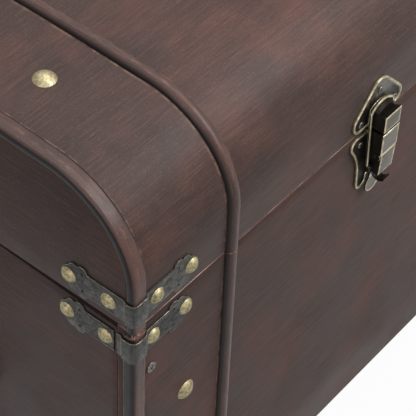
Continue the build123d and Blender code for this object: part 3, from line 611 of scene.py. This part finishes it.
def relieve(shape, floor_finish):
    """Black patina everywhere, polished off the front faces, their borders and the rims; on the sides and the
    curled lip the black is also painted shade.
    """
    for face in shape.faces:
        out = out_from_front(face) / MM
        low_down = below_seam(face) > 28 * MM
        to_front = face.normal.y < -0.8
        on_rim = 1.3 < out < 1.6 or 3.75 < out < 4.0 and low_down
        plate_side = out < 1.55 and abs(face.normal.y) < 0.3
        on_hook = below_seam(face) < 0 and 2.0 < out < 9.0
        on_curled_lip = low_down and out > 5.5
        face.material_index = 0
        # The hook and the curled lip stay black; on the lip this is painted shade in its dish
        if on_hook or on_curled_lip:
            continue
        if to_front and on_rim or plate_side:
            face.material_index = 1
        elif to_front and out < 1.2:
            face.material_index = floor_finish
        elif to_front:
            face.material_index = 2
    fronts = [face for face in shape.faces if face.material_index == 2 and out_from_front(face) > 5 * MM]
    borders = bmesh.ops.inset_region(
        shape, faces=fronts, thickness=1.05 * MM, depth=0.0, use_even_offset=True, use_boundary=True
    )
    for face in borders["faces"]:
        face.material_index = 1


def on_pale(edge):
    return edge.calc_length() > 0.14 * MM and any(face.material_index > 0 for face in edge.link_faces)


for node, floor_finish in (("latch_keeper", 3), ("latch_base", 0), ("latch_lever", 0)):
    eased_piece(
        node, (black_patina_and_painted_shade, pale_brass, grey_brass, keeper_floor_with_painted_shade), 0.25 * MM, on_pale,
        ready=lambda shape: relieve(shape, floor_finish),
    )


def shade_bail_feet(shape):
    """The bail's lower ends, where they turn in the lever, are black: painted shade under the lever."""
    for face in shape.faces:
        if below_seam(face) > 22.5 * MM:
            face.material_index = 2


eased_piece(
    "latch_bail", (pale_brass, pale_brass, black_patina_and_painted_shade), 0.4 * MM, lambda edge: edge.calc_length() > 0.2 * MM,
    mark=shade_bail_feet,
)

# Hinges and handles: grey brass with rubbed edges


def long_enough(edge):
    return edge.calc_length() > 0.3 * MM


for side in ("left", "right"):
    for leaf in ("body_leaf", "lid_leaf"):
        eased_piece(f"{side}_hinge_{leaf}", (hinge_bronze, pale_brass), 0.18 * MM, long_enough)
    eased_piece(f"{side}_handle_plate", (grey_brass, pale_brass), 0.3 * MM, long_enough)
    eased_piece(f"{side}_handle_bail", (pale_brass, grey_brass), 0.5 * MM, long_enough)

finishes = {
    "dark_bronze_sheet": dark_bronze,
    "antique_brass": antique_brass,
    "latch_bronze": pale_brass,
    "screw_steel": screw_steel,
    "stained_wood": inner_wood,
    "stained_moulding": post_wood,
}
other_finishes = {
    "panel_screws": worn_steel,
    "latch_keeper_screws": worn_steel,
    "latch_base_screws": worn_steel,
    "hinge_body_screws": worn_steel,
    "hinge_lid_screws": worn_steel,
    "latch_pins": black_patina_and_painted_shade,
}
for node, piece in nodes.items():
    piece.data.materials.clear()
    piece.data.materials.append(other_finishes.get(node, finishes[slot_of[node]]))


# Studio: a pale floor, a white surround and soft lights

WHITE = (1.0, 1.0, 1.0, 1.0)


def seen_directly(tree):
    """1 for rays that see the surround itself or its reflection, 0 for the light that it sheds."""
    path = tree.nodes.new("ShaderNodeLightPath")
    share = path.outputs["Is Camera Ray"]
    for name in ("Is Glossy Ray", "Is Transmission Ray"):
        either = tree.nodes.new("ShaderNodeMath")
        either.operation = "MAXIMUM"
        tree.links.new(share, either.inputs[0])
        tree.links.new(path.outputs[name], either.inputs[1])
        share = either.outputs[0]
    return share


def studio_floor():
    material = bpy.data.materials.new("pale_floor")
    material.use_nodes = True
    tree = material.node_tree
    tree.nodes.clear()
    matt = tree.nodes.new("ShaderNodeBsdfDiffuse")
    matt.inputs["Color"].default_value = (0.25, 0.25, 0.25, 1.0)
    glow = tree.nodes.new("ShaderNodeEmission")
    glow.inputs["Color"].default_value = WHITE
    glow.inputs["Strength"].default_value = 1.05
    mix = tree.nodes.new("ShaderNodeMixShader")
    share = tree.nodes.new("ShaderNodeMath")
    share.operation = "MULTIPLY"
    share.inputs[1].default_value = 0.90
    tree.links.new(seen_directly(tree), share.inputs[0])
    tree.links.new(share.outputs[0], mix.inputs[0])
    tree.links.new(matt.outputs[0], mix.inputs[1])
    tree.links.new(glow.outputs[0], mix.inputs[2])
    tree.links.new(mix.outputs[0], tree.nodes.new("ShaderNodeOutputMaterial").inputs["Surface"])
    ground = bmesh.new()
    bmesh.ops.create_grid(ground, x_segments=1, y_segments=1, size=4.0)
    mesh = bpy.data.meshes.new("studio_floor")
    ground.to_mesh(mesh)
    ground.free()
    mesh.materials.append(material)
    piece = bpy.data.objects.new("studio_floor", mesh)
    bpy.context.scene.collection.objects.link(piece)


def surround(strength):
    world = bpy.data.worlds.new("surround")
    bpy.context.scene.world = world
    world.use_nodes = True
    tree = world.node_tree
    backdrop = tree.nodes["Background"]
    backdrop.inputs["Color"].default_value = WHITE
    level = tree.nodes.new("ShaderNodeMapRange")
    level.inputs["To Min"].default_value = strength
    level.inputs["To Max"].default_value = 1.0
    tree.links.new(seen_directly(tree), level.inputs["Value"])
    tree.links.new(level.outputs["Result"], backdrop.inputs["Strength"])


def soft_light(name, towards, distance, size, power):
    """A square soft light, seen from the chest in one direction, facing it."""
    data = bpy.data.lights.new(name, "AREA")
    data.shape = "SQUARE"
    data.size = size
    data.energy = power
    light = bpy.data.objects.new(name, data)
    direction = Vector(towards).normalized()
    middle = Vector((0.0, 0.0, 0.2))
    light.matrix_world = Matrix.Translation(middle + direction * distance) @ direction.to_track_quat(
        "Z", "Y"
    ).to_matrix().to_4x4()
    bpy.context.scene.collection.objects.link(light)


studio_floor()
surround(0.22)
soft_light("front_light", (0.34, -0.66, 0.80), 1.6, 1.0, 30.0)
soft_light("top_light", (0.15, 0.10, 1.0), 1.6, 1.2, 17.0)
soft_light("side_light", (-1.0, -0.15, 0.5), 2.0, 1.2, 12.0)
